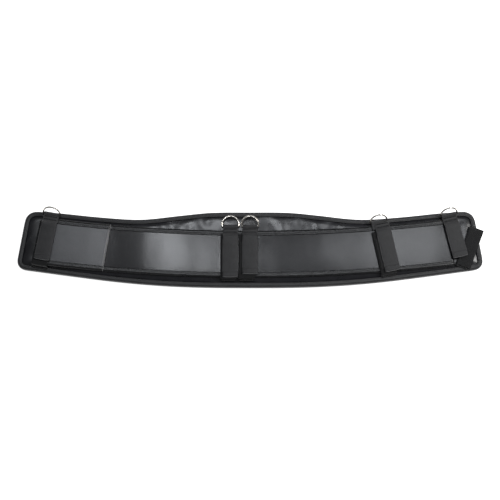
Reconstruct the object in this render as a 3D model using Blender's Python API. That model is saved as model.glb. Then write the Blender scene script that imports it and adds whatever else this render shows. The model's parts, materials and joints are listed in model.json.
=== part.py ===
"""A contoured tool-belt pad: a padded back rest with a wide bound band sewn across its outer
face, an overlap panel at one end and five webbing keepers that each carry a D-ring.

X runs along the belt, +Y is its upper edge when worn and +Z points away from the wearer.
The pad lies with its body side on Z = 0. Sizes are in millimetres until they meet Blender.
"""

import math
from dataclasses import dataclass

import bpy
from mathutils import Vector

MM = 0.001
GAP = 0.3

# Padded back rest: the right half of its outline, from the centre to the rounded end.
TOP_EDGE = ((0, 61.6), (64, 61.0), (112, 56.2), (176, 49.7), (240, 53.4), (304, 60.0), (338, 62.6))
BOTTOM_EDGE = ((0, -61.5), (80, -60.8), (144, -58.0), (208, -52.5), (272, -44.6), (358, -33.0))
UPPER_CORNER = (360.0, 64.2)
LOWER_CORNER = (375.0, -30.5)
UPPER_CORNER_RADIUS = 18.0
LOWER_CORNER_RADIUS = 14.0
EDGE_STEPS = 20

# Layers of the back rest, as (lowest, highest).
LINING_Z = (0.0, 2.0)
LINING_RIM_Z = (1.3, 2.0)
FOAM_Z = (2.3, 9.0)
FACE_Z = (9.3, 10.4)
BINDING_HEIGHT = 11.7
BINDING_WIDTH = 8.0
BINDING_LIP = 1.0
BINDING_WEB = 1.2

# Wide band across the outer face. Its centreline is a parabola.
BAND_CENTRE_Y = -7.4
BAND_CURVATURE = 1.83e-4
BAND_HALF_WIDTH = 38.0
BAND_THICKNESS = 3.4
BAND_SPAN = (-330.0, 322.0)
OVERLAP_SPAN = (-330.0, -229.0)
BAND_Z = FACE_Z[1] + GAP
OVERLAP_Z = BAND_Z + BAND_THICKNESS + GAP
TAPE_COVER = 8.2
TAPE_LIP = 0.7
TAPE_WEB = 0.8
STATION_SPACING = 18.0

# Webbing keepers.
WEBBING_WIDTH = 24.0
WEBBING_THICKNESS = 1.5
PILE_WIDTH = 21.0
PILE_THICKNESS = 0.8
PILE_START = 12.0
PILE_END = 57.0
HOOK_STRAP_TIP = 60.0
OPEN_STRAP_TIP = 66.0
SEAM_LENGTH = 3.0
HOOK_STRAP_RISE = 8.55  # from the band's underside to the middle of the hook strap
HINGE_RISE = 7.75
HINGE_BACK = 8.5  # from the ring's bar back to the front strap's seam
FRONT_STRAP_RISE = 12.55
TAB_LENGTH = 12.0
BAR_RISE = 5.2

# D-rings, along the middle of the wire.
RING_WIRE_RADIUS = 1.2
RING_ARCH_RADIUS = 13.5
RING_ARM = 3.0
RING_CORNER_RADIUS = 1.6

VINYL = ((0.018, 0.018, 0.022), 0.28, 0.0)
LINING = ((0.030, 0.030, 0.032), 0.90, 0.0)
FOAM = ((0.080, 0.080, 0.075), 0.95, 0.0)
BINDING = ((0.045, 0.045, 0.047), 0.55, 0.0)
BAND_FABRIC = ((0.110, 0.112, 0.120), 0.45, 0.0)
EDGE_TAPE = ((0.070, 0.071, 0.075), 0.55, 0.0)
WEBBING = ((0.035, 0.035, 0.037), 0.75, 0.0)
PILE = ((0.015, 0.015, 0.016), 0.95, 0.0)
NICKEL = ((0.720, 0.700, 0.650), 0.22, 1.0)


@dataclass(frozen=True)
class Keeper:
    """One webbing keeper, placed by its ring's bar."""

    name: str
    bar: tuple  # x and y of the middle of the ring's bar
    lean: float  # degrees, positive when the ring end leans toward +X
    reach: float  # from the ring's bar to the lower seam
    lift: float  # extra height over the overlap panel
    seat: float  # height of the surface that the lower seam is sewn to
    front_end: float  # free end of the front strap, from the lower seam
    front_shift: float  # sideways offset of the front strap
    ring_angle: float  # degrees that the ring stands up from the pad

    def seam(self):
        """Place of the lower seam's middle."""
        angle = math.radians(self.lean)
        return (self.bar[0] - self.reach * math.sin(angle), self.bar[1] - self.reach * math.cos(angle))


OVERLAP_LIFT = BAND_THICKNESS + GAP
OVER_BINDING = BINDING_HEIGHT + GAP
KEEPERS = (
    Keeper("left_end", (-317.6, 56.4), 10.0, 86.0, OVERLAP_LIFT, OVER_BINDING, 10.0, 0.0, 60.0),
    Keeper("left_centre", (-31.4, 36.9), 0.0, 85.0, 0.0, BAND_Z, 2.0, 0.0, 4.0),
    Keeper("right_centre", (0.0, 36.9), 0.0, 85.0, 0.0, BAND_Z, 7.0, 0.0, 18.0),
    Keeper("right_side", (206.0, 44.6), -12.0, 87.0, 0.0, OVER_BINDING, 4.0, 4.0, 60.0),
    Keeper("right_end", (319.0, 55.9), -13.2, 85.0, 0.0, OVER_BINDING, 14.0, 0.0, 60.0),
)
OPEN_KEEPER = "right_end"
OPEN_STRAP_SEAM = (340.0, -27.5)
OPEN_STRAP_LEAN = 21.0
OPEN_STRAP_RISE = 0.9


def clear_scene():
    """Remove whatever the starting scene holds."""
    for found in list(bpy.data.objects):
        bpy.data.objects.remove(found, do_unlink=True)


def new_collection(name, hidden=False):
    """Add a collection to the scene."""
    made = bpy.data.collections.new(name)
    made.hide_render = hidden
    bpy.context.scene.collection.children.link(made)
    return made


def finish_with(obj, finish):
    """Give an object a Principled BSDF material of its own."""
    colour, roughness, metallic = finish
    material = bpy.data.materials.new(obj.name)
    material.use_nodes = True
    shader = material.node_tree.nodes["Principled BSDF"]
    shader.inputs["Base Color"].default_value = (*colour, 1.0)
    shader.inputs["Roughness"].default_value = roughness
    shader.inputs["Metallic"].default_value = metallic
    material.diffuse_color = (*colour, 1.0)
    obj.data.materials.clear()
    obj.data.materials.append(material)


def hermite(stations, x):
    """Height at x of a smooth curve through the stations, flat at the first one."""
    slopes = [0.0]
    for before, after in zip(stations, stations[2:]):
        slopes.append((after[1] - before[1]) / (after[0] - before[0]))
    last, end = stations[-2:]
    slopes.append((end[1] - last[1]) / (end[0] - last[0]))
    for index in range(len(stations) - 1):
        (x0, y0), (x1, y1) = stations[index : index + 2]
        if x <= x1 or index == len(stations) - 2:
            width = x1 - x0
            t = (x - x0) / width
            rise = y0 * (2 * t**3 - 3 * t**2 + 1) + y1 * (3 * t**2 - 2 * t**3)
            return rise + width * (slopes[index] * (t**3 - 2 * t**2 + t) + slopes[index + 1] * (t**3 - t**2))
    return stations[-1][1]


def rounded(points, radii, steps=5):
    """An open line through the points, with an arc of its radius at each inner point."""
    line = [Vector(points[0])]
    for index, radius in enumerate(radii, start=1):
        corner = Vector(points[index])
        back = (Vector(points[index - 1]) - corner).normalized()
        ahead = (Vector(points[index + 1]) - corner).normalized()
        half = back.angle(ahead) / 2
        centre = corner + (back + ahead).normalized() * (radius / math.sin(half))
        start = corner + back * (radius / math.tan(half)) - centre
        end = corner + ahead * (radius / math.tan(half)) - centre
        turn = start.angle_signed(end)
        for step in range(steps + 1):
            angle = -turn * step / steps
            spoke = Vector(
                (
                    start.x * math.cos(angle) - start.y * math.sin(angle),
                    start.x * math.sin(angle) + start.y * math.cos(angle),
                )
            )
            line.append(centre + spoke)
    line.append(Vector(points[-1]))
    return line


def normals_of(line, cyclic):
    """Mitred unit offsets to the left of each point of a line."""
    found = []
    count = len(line)
    for index, point in enumerate(line):
        before = line[index - 1] if cyclic or index else None
        after = line[(index + 1) % count] if cyclic or index < count - 1 else None
        sides = []
        if before is not None:
            sides.append((point - before).normalized())
        if after is not None:
            sides.append((after - point).normalized())
        lefts = [Vector((-side.y, side.x)) for side in sides]
        mean = sum(lefts, Vector((0.0, 0.0))).normalized()
        found.append(mean / mean.dot(lefts[0]))
    return found


def pad_outline(inset=0.0):
    """The back rest's outline, clockwise from the top centre, moved inward by inset."""
    top_x = TOP_EDGE[-1][0]
    bottom_x = BOTTOM_EDGE[-1][0]
    top = [Vector((x, hermite(TOP_EDGE, x))) for x in spread(0.0, top_x, EDGE_STEPS)]
    bottom = [Vector((x, hermite(BOTTOM_EDGE, x))) for x in spread(bottom_x, 0.0, EDGE_STEPS)]
    corners = (top[-1], UPPER_CORNER, LOWER_CORNER, bottom[0])
    end = rounded(corners, (UPPER_CORNER_RADIUS, LOWER_CORNER_RADIUS))
    right = top[:-1] + end + bottom[1:]
    left = [Vector((-point.x, point.y)) for point in reversed(right[1:-1])]
    line = right + left
    return [point - normal * inset for point, normal in zip(line, normals_of(line, True))]


def spread(first, last, steps):
    """Evenly spaced numbers from first to last."""
    return [first + (last - first) * step / steps for step in range(steps + 1)]


def band_line(span, offset):
    """A line that runs beside the band's centreline, offset toward the upper edge."""
    steps = max(4, round((span[1] - span[0]) / STATION_SPACING))
    line = [Vector((x, BAND_CENTRE_Y + BAND_CURVATURE * x * x)) for x in spread(*span, steps)]
    return [point + normal * offset for point, normal in zip(line, normals_of(line, False))]


def strip_outline(span, half_width):
    """The outline of a strip of the band."""
    return band_line(span, half_width) + list(reversed(band_line(span, -half_width)))


def curve_object(name, loops, collection, dimensions="2D"):
    """A curve object of closed straight-sided loops, given in millimetres."""
    data = bpy.data.curves.new(name, "CURVE")
    data.dimensions = dimensions
    for loop in loops:
        add_loop(data, loop, True)
    obj = bpy.data.objects.new(name, data)
    collection.objects.link(obj)
    return obj


def add_loop(data, line, cyclic):
    """Add one straight-sided spline to a curve."""
    spline = data.splines.new("POLY")
    spline.points.add(len(line) - 1)
    for point, place in zip(spline.points, line):
        point.co = (*(Vector(place).to_3d() * MM), 1.0)
    spline.use_cyclic_u = cyclic


def plate(name, loops, heights, collection):
    """A flat plate of the given outline between two heights."""
    obj = curve_object(name, loops, collection)
    obj.data.fill_mode = "BOTH"
    obj.data.extrude = (heights[1] - heights[0]) * MM / 2
    obj.location.z = (heights[1] + heights[0]) * MM / 2
    return obj


def as_mesh(obj):
    """Turn a curve object into a mesh object of the same name."""
    graph = bpy.context.evaluated_depsgraph_get()
    mesh = bpy.data.meshes.new_from_object(obj.evaluated_get(graph))
    name = obj.name
    made = bpy.data.objects.new(name + "_mesh", mesh)
    made.matrix_world = obj.matrix_world
    obj.users_collection[0].objects.link(made)
    bpy.data.objects.remove(obj, do_unlink=True)
    made.name = name
    weld = made.modifiers.new("weld", "WELD")
    weld.merge_threshold = 1e-6
    return made


def stepped_plate(name, thick_loop, thick_z, rim_loop, rim_z, parts, cutters):
    """A plate with a thinner rim, as one body."""
    thick = plate(name, [thick_loop], thick_z, parts)
    rim = plate(name + "_rim", [rim_loop], rim_z, cutters)
    bpy.context.view_layer.update()
    thick = as_mesh(thick)
    rim = as_mesh(rim)
    rim.hide_render = True
    rim.display_type = "WIRE"
    join = thick.modifiers.new("rim", "BOOLEAN")
    join.operation = "UNION"
    join.solver = "EXACT"
    join.object = rim
    return thick


def channel_profile(height, lip, web, cover, round_by):
    """A folded tape's section: open toward +X, its outer face on x = 0, standing on y = 0."""
    outer = rounded(
        ((cover, 0.0), (0.0, 0.0), (0.0, height), (cover, height)), (round_by, round_by), steps=2
    )
    chamfer = round_by / 3
    inner = [
        (cover, height - lip),
        (web + chamfer, height - lip),
        (web, height - lip - chamfer),
        (web, lip + chamfer),
        (web + chamfer, lip),
        (cover, lip),
    ]
    return outer + [Vector(point) for point in inner]


def folded_tape(name, line, cyclic, profile, z, parts, cutters):
    """A tape of the given section swept along a line, its open side to the right."""
    section = curve_object(name + "_section", [profile], cutters)
    section.hide_render = True
    section.display_type = "WIRE"
    data = bpy.data.curves.new(name, "CURVE")
    data.dimensions = "2D"
    data.bevel_mode = "OBJECT"
    data.bevel_object = section
    data.use_fill_caps = not cyclic
    add_loop(data, line, cyclic)
    obj = bpy.data.objects.new(name, data)
    obj.location.z = z * MM
    parts.objects.link(obj)
    return obj


def ribbon(line, thickness):
    """The outline of webbing seen edge on, with round ends."""
    half = thickness / 2
    offsets = normals_of(line, False)
    left = [point + normal * half for point, normal in zip(line, offsets)]
    right = [point - normal * half for point, normal in zip(line, offsets)]
    outline = left
    for angle in (45, 90, 135):
        outline = outline + [line[-1] + turned(offsets[-1] * half, -angle)]
    outline = outline + list(reversed(right))
    for angle in (45, 90, 135):
        outline = outline + [line[0] + turned(-offsets[0] * half, -angle)]
    return outline


def turned(vector, degrees):
    """A 2D vector turned counterclockwise."""
    angle = math.radians(degrees)
    cos, sin = math.cos(angle), math.sin(angle)
    return Vector((vector.x * cos - vector.y * sin, vector.x * sin + vector.y * cos))


def circle(centre, radius, first, last, steps):
    """Points of an arc, in degrees."""
    angles = [math.radians(angle) for angle in spread(first, last, steps)]
    return [Vector((centre[0] + radius * math.cos(a), centre[1] + radius * math.sin(a))) for a in angles]


def side_piece(name, loops, pivot, width, shift, parent, parts):
    """Webbing drawn from the side, along and up, with its origin at the pivot."""
    moved = [[Vector(point) - Vector(pivot) for point in loop] for loop in loops]
    obj = curve_object(name, moved, parts)
    obj.data.fill_mode = "BOTH"
    obj.data.extrude = width * MM / 2
    obj.parent = parent
    obj.rotation_euler = (math.radians(90), 0.0, math.radians(90))
    obj.location = (shift * MM, pivot[0] * MM, pivot[1] * MM)
    return obj


def frame_empty(name, seam, lean, parts):
    """An empty at a keeper's lower seam, turned so that its Y runs up the webbing."""
    empty = bpy.data.objects.new(name, None)
    empty.location = (seam[0] * MM, seam[1] * MM, 0.0)
    empty.rotation_euler.z = -math.radians(lean)
    parts.objects.link(empty)
    return empty


def build_back_rest(parts, cutters):
    """Lining, foam, outer face and edge binding."""
    inner = BINDING_WIDTH + GAP
    rim = BINDING_WEB + 4 * GAP
    lining = stepped_plate(
        "body_lining", pad_outline(inner), (LINING_Z[0], LINING_RIM_Z[0] + GAP),
        pad_outline(rim), LINING_RIM_Z, parts, cutters
    )
    finish_with(lining, LINING)
    finish_with(plate("foam_core", [pad_outline(BINDING_WEB + 2 * GAP)], FOAM_Z, parts), FOAM)
    finish_with(plate("face_panel", [pad_outline(rim)], FACE_Z, parts), VINYL)
    profile = channel_profile(BINDING_HEIGHT, BINDING_LIP, BINDING_WEB, BINDING_WIDTH, 3.0)
    binding = folded_tape("edge_binding", pad_outline(), True, profile, 0.0, parts, cutters)
    finish_with(binding, BINDING)


def build_band(prefix, span, z, parts, cutters):
    """A stiff fabric band and the tapes folded over its two long edges."""
    low, high = z + GAP, z + BAND_THICKNESS - GAP
    rim_low, rim_high = z + TAPE_LIP + GAP, z + BAND_THICKNESS - TAPE_LIP - GAP
    thick_half = BAND_HALF_WIDTH - TAPE_COVER - GAP
    rim_half = BAND_HALF_WIDTH - TAPE_WEB - 2 * GAP
    fabric = stepped_plate(
        prefix, strip_outline(span, thick_half), (low, high),
        strip_outline(span, rim_half), (rim_low, rim_high), parts, cutters
    )
    finish_with(fabric, BAND_FABRIC)
    profile = channel_profile(BAND_THICKNESS, TAPE_LIP, TAPE_WEB, TAPE_COVER, 0.6)
    top = band_line(span, BAND_HALF_WIDTH)
    bottom = list(reversed(band_line(span, -BAND_HALF_WIDTH)))
    for edge, line in (("top", top), ("bottom", bottom)):
        tape = folded_tape(f"{prefix}_{edge}_tape", line, False, profile, z, parts, cutters)
        finish_with(tape, EDGE_TAPE)


def build_hook_strap(name, seat, tip, frame, parts, rise):
    """The strap sewn along the lower seam, with its hook pile on top."""
    half = WEBBING_THICKNESS / 2
    start = (-SEAM_LENGTH, seat + half)
    if rise > seat + 4.0:
        corners = ((0.4, seat + half), (1.0, rise - 2.2), (4.6, rise))
        radii = (1.0, 1.6, 2.4)
    else:
        corners = ((2.0, seat + half), (8.0, rise))
        radii = (12.0, 12.0)
    line = rounded((start, *corners, (tip, rise)), radii, steps=3)
    strap = side_piece(f"{name}_hook_strap", [ribbon(line, WEBBING_THICKNESS)], start, WEBBING_WIDTH, 0.0,
                       frame, parts)
    finish_with(strap, WEBBING)
    low = rise + half + GAP
    build_pile(f"{name}_hook_pile", PILE_START, tip - SEAM_LENGTH, low, start, 0.0, frame, parts)


def build_pile(name, first, last, low, pivot, shift, frame, parts):
    """A patch of hook or loop pile."""
    high = low + PILE_THICKNESS
    loop = [(first, low), (last, low), (last, high), (first, high)]
    finish_with(side_piece(name, [loop], pivot, PILE_WIDTH, shift, frame, parts), PILE)


def build_front_strap(keeper, frame, parts):
    """The strap that hangs from the ring tab over the hook strap, with its loop pile below."""
    top = BAND_Z + keeper.lift + FRONT_STRAP_RISE
    hinge = (keeper.reach - HINGE_BACK, BAND_Z + keeper.lift + HINGE_RISE)
    bend = (hinge[0] - 8.5, top)
    line = rounded((hinge, bend, (keeper.front_end, top)), (6.0,), steps=4)
    strap = side_piece(f"{keeper.name}_front_strap", [ribbon(line, WEBBING_THICKNESS)], hinge,
                       WEBBING_WIDTH, keeper.front_shift, frame, parts)
    finish_with(strap, WEBBING)
    low = top - WEBBING_THICKNESS / 2 - GAP - PILE_THICKNESS
    first = max(PILE_START, keeper.front_end + SEAM_LENGTH)
    build_pile(f"{keeper.name}_loop_pile", first, PILE_END, low, hinge, keeper.front_shift, frame, parts)


def build_ring_tab(keeper, frame, parts):
    """Webbing folded round the ring's bar and sewn to itself."""
    bar = (keeper.reach, BAND_Z + keeper.lift + BAR_RISE)
    loop_radius = RING_WIRE_RADIUS + GAP + WEBBING_THICKNESS
    end = keeper.reach - TAB_LENGTH
    outer = [Vector((end, bar[1] - WEBBING_THICKNESS))]
    outer += circle(bar, loop_radius, -150, 150, 14)
    outer += [Vector((end, bar[1] + WEBBING_THICKNESS))]
    hole = circle(bar, RING_WIRE_RADIUS + GAP, 0, 330, 11)
    finish_with(side_piece(f"{keeper.name}_ring_tab", [outer, hole], bar, WEBBING_WIDTH, 0.0, frame, parts),
                WEBBING)


def build_d_ring(keeper, frame, parts):
    """A bent-wire ring whose straight bar lies along its local X."""
    corners = (
        (0.0, 0.0),
        (RING_ARCH_RADIUS, 0.0),
        (RING_ARCH_RADIUS, RING_ARM),
    )
    right = rounded(corners, (RING_CORNER_RADIUS,), steps=3)[1:]
    arch = circle((0.0, RING_ARM), RING_ARCH_RADIUS, 0, 180, 14)[1:-1]
    left = [Vector((-point.x, point.y)) for point in reversed(right)]
    obj = curve_object(f"{keeper.name}_d_ring", [right + arch + left], parts, "3D")
    obj.data.bevel_depth = RING_WIRE_RADIUS * MM
    obj.data.bevel_resolution = 2
    obj.parent = frame
    obj.location = (0.0, keeper.reach * MM, (BAND_Z + keeper.lift + BAR_RISE) * MM)
    obj.rotation_euler.x = math.radians(keeper.ring_angle)
    finish_with(obj, NICKEL)


def build_keeper(keeper, parts):
    """Ring tab, D-ring, front strap, hook strap and their pile patches."""
    frame = frame_empty(f"{keeper.name}_keeper", keeper.seam(), keeper.lean, parts)
    build_ring_tab(keeper, frame, parts)
    build_d_ring(keeper, frame, parts)
    build_front_strap(keeper, frame, parts)
    if keeper.name == OPEN_KEEPER:
        open_frame = frame_empty(f"{keeper.name}_open_seam", OPEN_STRAP_SEAM, OPEN_STRAP_LEAN, parts)
        rise = keeper.seat + WEBBING_THICKNESS / 2 + OPEN_STRAP_RISE
        build_hook_strap(keeper.name, keeper.seat, OPEN_STRAP_TIP, open_frame, parts, rise)
    else:
        rise = BAND_Z + keeper.lift + HOOK_STRAP_RISE
        build_hook_strap(keeper.name, keeper.seat, HOOK_STRAP_TIP, frame, parts, rise)


def main():
    """Build every piece of the belt."""
    clear_scene()
    parts = new_collection("tool_belt")
    cutters = new_collection("cutters", hidden=True)
    build_back_rest(parts, cutters)
    build_band("front_band", BAND_SPAN, BAND_Z, parts, cutters)
    build_band("overlap_panel", OVERLAP_SPAN, OVERLAP_Z, parts, cutters)
    for keeper in KEEPERS:
        build_keeper(keeper, parts)


main()
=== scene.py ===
"""Looks for a contoured tool-belt back support with webbing keepers and D-rings.

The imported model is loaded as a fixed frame. Soft pieces are rebuilt as puffed, rolled and
stitched cloth in the same places, and each takes a procedural finish.
"""

from __future__ import annotations

import json
import logging
import math
from dataclasses import dataclass
from enum import Enum
from typing import Iterable, Sequence

import bmesh
import bpy
import numpy as np
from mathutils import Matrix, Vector
from mathutils.noise import noise


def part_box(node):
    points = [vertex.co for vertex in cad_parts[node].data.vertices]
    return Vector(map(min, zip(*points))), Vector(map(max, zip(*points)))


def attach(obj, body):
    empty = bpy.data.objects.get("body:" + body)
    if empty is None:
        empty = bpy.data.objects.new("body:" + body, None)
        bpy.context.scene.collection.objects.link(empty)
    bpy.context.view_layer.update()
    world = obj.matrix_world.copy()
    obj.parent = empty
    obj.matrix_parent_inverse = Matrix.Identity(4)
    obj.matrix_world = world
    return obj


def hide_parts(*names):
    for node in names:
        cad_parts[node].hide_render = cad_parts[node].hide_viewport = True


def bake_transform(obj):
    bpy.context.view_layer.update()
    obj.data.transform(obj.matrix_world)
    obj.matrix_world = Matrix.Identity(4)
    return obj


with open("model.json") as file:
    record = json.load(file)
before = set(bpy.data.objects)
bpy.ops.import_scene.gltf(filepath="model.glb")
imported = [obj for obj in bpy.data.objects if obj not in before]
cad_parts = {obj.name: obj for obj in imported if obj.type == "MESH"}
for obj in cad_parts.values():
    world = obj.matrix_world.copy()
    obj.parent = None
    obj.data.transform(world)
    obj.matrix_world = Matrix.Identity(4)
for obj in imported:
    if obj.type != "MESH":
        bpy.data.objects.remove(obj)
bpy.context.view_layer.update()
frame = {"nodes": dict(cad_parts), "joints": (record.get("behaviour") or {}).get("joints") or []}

LOG = logging.getLogger("tool_belt")
MM = 0.001
RGB = tuple[float, float, float]
DUST_COLOUR = (0.30, 0.30, 0.31, 1.0)
Obj = bpy.types.Object
Path = list[Vector]


# ---------------------------------------------------------------- node helpers


class NodeSketch:
    """A short way to place and join shader nodes in one tree."""

    def __init__(self, tree: bpy.types.NodeTree) -> None:
        """Work on a tree.

        Args:
            tree: The material's or group's node tree.
        """
        self.tree = tree

    def add(self, kind: str, inputs: dict | None = None, **settings: object) -> bpy.types.Node:
        """Place a node.

        Args:
            kind: The node's type without its ShaderNode prefix.
            inputs: Socket names or numbers, with a value or the socket that feeds them.
            **settings: Properties of the node itself.

        Returns:
            The new node.
        """
        prefix = "" if kind.startswith("Node") else "ShaderNode"
        node = self.tree.nodes.new(prefix + kind)
        for key, value in settings.items():
            setattr(node, key, value)
        for key, value in (inputs or {}).items():
            if isinstance(value, bpy.types.NodeSocket):
                self.tree.links.new(value, node.inputs[key])
            else:
                node.inputs[key].default_value = value
        return node

    def math(self, operation: str, *values: object) -> bpy.types.NodeSocket:
        """Place a Math node.

        Args:
            operation: The Math node's operation.
            *values: Numbers or sockets for its inputs.

        Returns:
            Its output socket.
        """
        return self.add("Math", dict(enumerate(values)), operation=operation).outputs[0]

    def spread(self, value: bpy.types.NodeSocket, low: object, high: object) -> bpy.types.NodeSocket:
        """Map 0 to 1 onto low to high.

        Args:
            value: The socket to map.
            low: The result at 0.
            high: The result at 1.

        Returns:
            The mapped value's socket.
        """
        return self.add("MapRange", {"Value": value, "To Min": low, "To Max": high}).outputs[0]

    def group(self, made: bpy.types.NodeTree, inputs: dict) -> bpy.types.Node:
        """Place a node group.

        Args:
            made: The group's tree.
            inputs: Values or sockets by input name.

        Returns:
            The group node.
        """
        return self.add("Group", inputs, node_tree=made)


@dataclass(frozen=True)
class EffectShelf:
    """The shared surface effects, each a node group made once."""

    def _start(self, name: str, inputs: dict[str, str], outputs: Sequence[str]) -> tuple:
        """Open a new group.

        Args:
            name: The group's name.
            inputs: Socket names with their kind, Float or Vector.
            outputs: Names of its number outputs.

        Returns:
            The tree, its sketch, its input node and its output node.
        """
        tree = bpy.data.node_groups.new(name, "ShaderNodeTree")
        for label, kind in inputs.items():
            tree.interface.new_socket(label, in_out="INPUT", socket_type=f"NodeSocket{kind}")
        for label in outputs:
            tree.interface.new_socket(label, in_out="OUTPUT", socket_type="NodeSocketFloat")
        sketch = NodeSketch(tree)
        return tree, sketch, sketch.add("NodeGroupInput"), sketch.add("NodeGroupOutput")

    def basket_weave(self) -> bpy.types.NodeTree:
        """Make the over-and-under weave of flat yarns.

        Returns:
            The group, with a Height output.
        """
        tree, s, given, out = self._start(
            "basket_weave", {"Place": "Vector", "Pitch": "Float"}, ("Height",)
        )
        split = s.add("SeparateXYZ", {0: given.outputs["Place"]})
        along = s.math("DIVIDE", split.outputs["X"], given.outputs["Pitch"])
        across = s.math("DIVIDE", split.outputs["Y"], given.outputs["Pitch"])
        warp = s.math("SINE", s.math("MULTIPLY", along, math.pi))
        weft = s.math("SINE", s.math("MULTIPLY", across, math.pi))
        over = s.math("MULTIPLY", warp, weft)
        ridge_a = s.math("ABSOLUTE", warp)
        ridge_b = s.math("ABSOLUTE", weft)
        chosen = s.add("Mix", {0: s.math("GREATER_THAN", over, 0.0), 2: ridge_a, 3: ridge_b})
        s.tree.links.new(s.math("POWER", chosen.outputs[0], 0.6), out.inputs["Height"])
        return tree

    def rib_weave(self) -> bpy.types.NodeTree:
        """Make the slanting ribs of webbing and folded tape.

        Returns:
            The group, with a Height output.
        """
        tree, s, given, out = self._start(
            "rib_weave", {"Place": "Vector", "Pitch": "Float", "Slant": "Float"}, ("Height",)
        )
        split = s.add("SeparateXYZ", {0: given.outputs["Place"]})
        leaning = s.math("MULTIPLY", split.outputs["Y"], given.outputs["Slant"])
        shifted = s.math("ADD", split.outputs["X"], leaning)
        turns = s.math("DIVIDE", shifted, given.outputs["Pitch"])
        wave = s.math("SINE", s.math("MULTIPLY", turns, 2 * math.pi))
        yarn_turns = s.math("DIVIDE", split.outputs["Y"], given.outputs["Pitch"])
        yarns = s.math("SINE", s.math("MULTIPLY", yarn_turns, 2 * math.pi))
        mixed = s.math("MULTIPLY_ADD", yarns, 0.35, wave)
        s.tree.links.new(s.math("MULTIPLY_ADD", mixed, 0.37, 0.5), out.inputs["Height"])
        return tree

    def mottle(self) -> bpy.types.NodeTree:
        """Make soft cloudy variation with a little fine dust.

        Returns:
            The group, with Cloud and Dust outputs.
        """
        tree, s, given, out = self._start(
            "mottle", {"Place": "Vector", "Size": "Float", "Contrast": "Float"}, ("Cloud", "Dust")
        )
        scale = s.math("DIVIDE", 1.0, given.outputs["Size"])
        cloud = s.add("TexNoise", {"Vector": given.outputs["Place"], "Scale": scale, "Detail": 4.0})
        centred = s.math("SUBTRACT", cloud.outputs[0], 0.5)
        strong = s.math("MULTIPLY_ADD", centred, given.outputs["Contrast"], 0.5)
        speck = s.add(
            "TexNoise", {"Vector": given.outputs["Place"], "Scale": 1400.0, "Detail": 2.0}
        )
        dust = s.add("MapRange", {"Value": speck.outputs[0], "From Min": 0.64, "From Max": 0.75})
        s.tree.links.new(strong, out.inputs["Cloud"])
        s.tree.links.new(dust.outputs[0], out.inputs["Dust"])
        return tree

    def leather_grain(self) -> bpy.types.NodeTree:
        """Make the pebbles and faint creases of coated vinyl.

        Returns:
            The group, with a Height output.
        """
        tree, s, given, out = self._start(
            "leather_grain", {"Place": "Vector", "Pebble": "Float"}, ("Height",)
        )
        scale = s.math("DIVIDE", 1.0, given.outputs["Pebble"])
        cells = s.add("TexVoronoi", {"Vector": given.outputs["Place"], "Scale": scale})
        crease = s.add(
            "TexNoise", {"Vector": given.outputs["Place"], "Scale": 120.0, "Detail": 5.0}
        )
        mixed = s.math("MULTIPLY_ADD", crease.outputs[0], 1.6, cells.outputs["Distance"])
        s.tree.links.new(mixed, out.inputs["Height"])
        return tree


class Weave(Enum):
    """How a cloth's yarns show."""

    BASKET = "basket"
    RIBBED = "ribbed"
    PILE = "pile"
    NET = "net"
    GRAIN = "grain"


class Finishes:
    """Every material of the belt, made on first use."""

    def __init__(self) -> None:
        """Make the shared effects."""
        shelf = EffectShelf()
        self.basket = shelf.basket_weave()
        self.ribs = shelf.rib_weave()
        self.mottle = shelf.mottle()
        self.grain = shelf.leather_grain()
        self.made: dict[str, bpy.types.Material] = {}

    def of(self, finish: ClothFinish | MetalFinish) -> bpy.types.Material:
        """The material of a finish.

        Args:
            finish: The finish wanted.

        Returns:
            Its material, shared by all pieces of that finish.
        """
        if finish.name not in self.made:
            self.made[finish.name] = finish.build(self)
        return self.made[finish.name]


def fresh_material(name: str) -> tuple[bpy.types.Material, NodeSketch, bpy.types.Node]:
    """Start a material.

    Args:
        name: The material's name.

    Returns:
        The material, a sketch of its tree and its Principled BSDF.
    """
    made = bpy.data.materials.new(name)
    made.use_nodes = True
    return made, NodeSketch(made.node_tree), made.node_tree.nodes["Principled BSDF"]


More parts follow.
